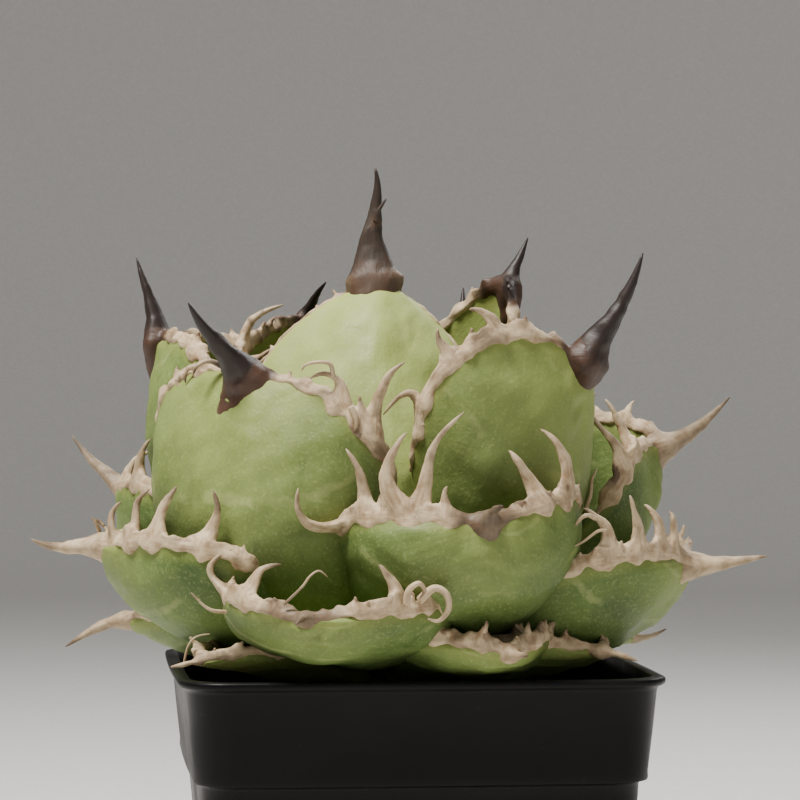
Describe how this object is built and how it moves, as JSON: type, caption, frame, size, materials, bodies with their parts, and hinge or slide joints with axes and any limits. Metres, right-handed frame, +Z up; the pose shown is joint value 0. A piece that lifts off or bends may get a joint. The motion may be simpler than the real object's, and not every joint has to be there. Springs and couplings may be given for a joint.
{
  "type": "potted agave titanota",
  "caption": "Compact rosette of thick boat-shaped leaves with a horny toothed margin and a stout end spine on each leaf, in a square tapered nursery pot with a flanged rim.",
  "frame": {"origin": "middle of the pot's flat underside", "axes": "+Z up, -Y towards the front that the picture shows, +X to the right of it; the pot stands turned 6 degrees to the left about +Z"},
  "size_m": [0.1626, 0.1469, 0.212],
  "materials": {
    "pot": "satin",
    "soil": "matte",
    "stem": "matte",
    "leaf": "matte",
    "young_leaf": "matte",
    "horn": "matte",
    "dark_horn": "satin"
  },
  "bodies": {
    "root": {"pot": "pot", "soil": "soil", "stem": "stem", "bud": "young_leaf", "bud_spine": "dark_horn", "leaf_01": "leaf", "horn_01": "horn", "leaf_02": "young_leaf", "horn_02": "horn", "leaf_03": "leaf", "horn_03": "horn", "leaf_04": "leaf", "horn_04": "horn", "leaf_05": "leaf", "horn_05": "horn", "leaf_06": "leaf", "horn_06": "horn", "leaf_07": "leaf", "horn_07": "horn", "leaf_08": "leaf", "horn_08": "horn", "leaf_09": "leaf", "horn_09": "horn", "leaf_10": "leaf", "horn_10": "horn", "leaf_11": "leaf", "horn_11": "horn", "leaf_12": "leaf", "horn_12": "horn", "leaf_13": "leaf", "horn_13": "horn", "leaf_14": "leaf", "horn_14": "horn", "leaf_15": "leaf", "horn_15": "horn", "leaf_16": "leaf", "horn_16": "horn", "leaf_17": "leaf", "horn_17": "horn", "leaf_18": "leaf", "horn_18": "horn", "leaf_19": "leaf", "horn_19": "horn", "leaf_20": "leaf", "horn_20": "horn", "leaf_21": "leaf", "horn_21": "horn", "leaf_22": "leaf", "horn_22": "horn"}
  },
  "joints": []
}
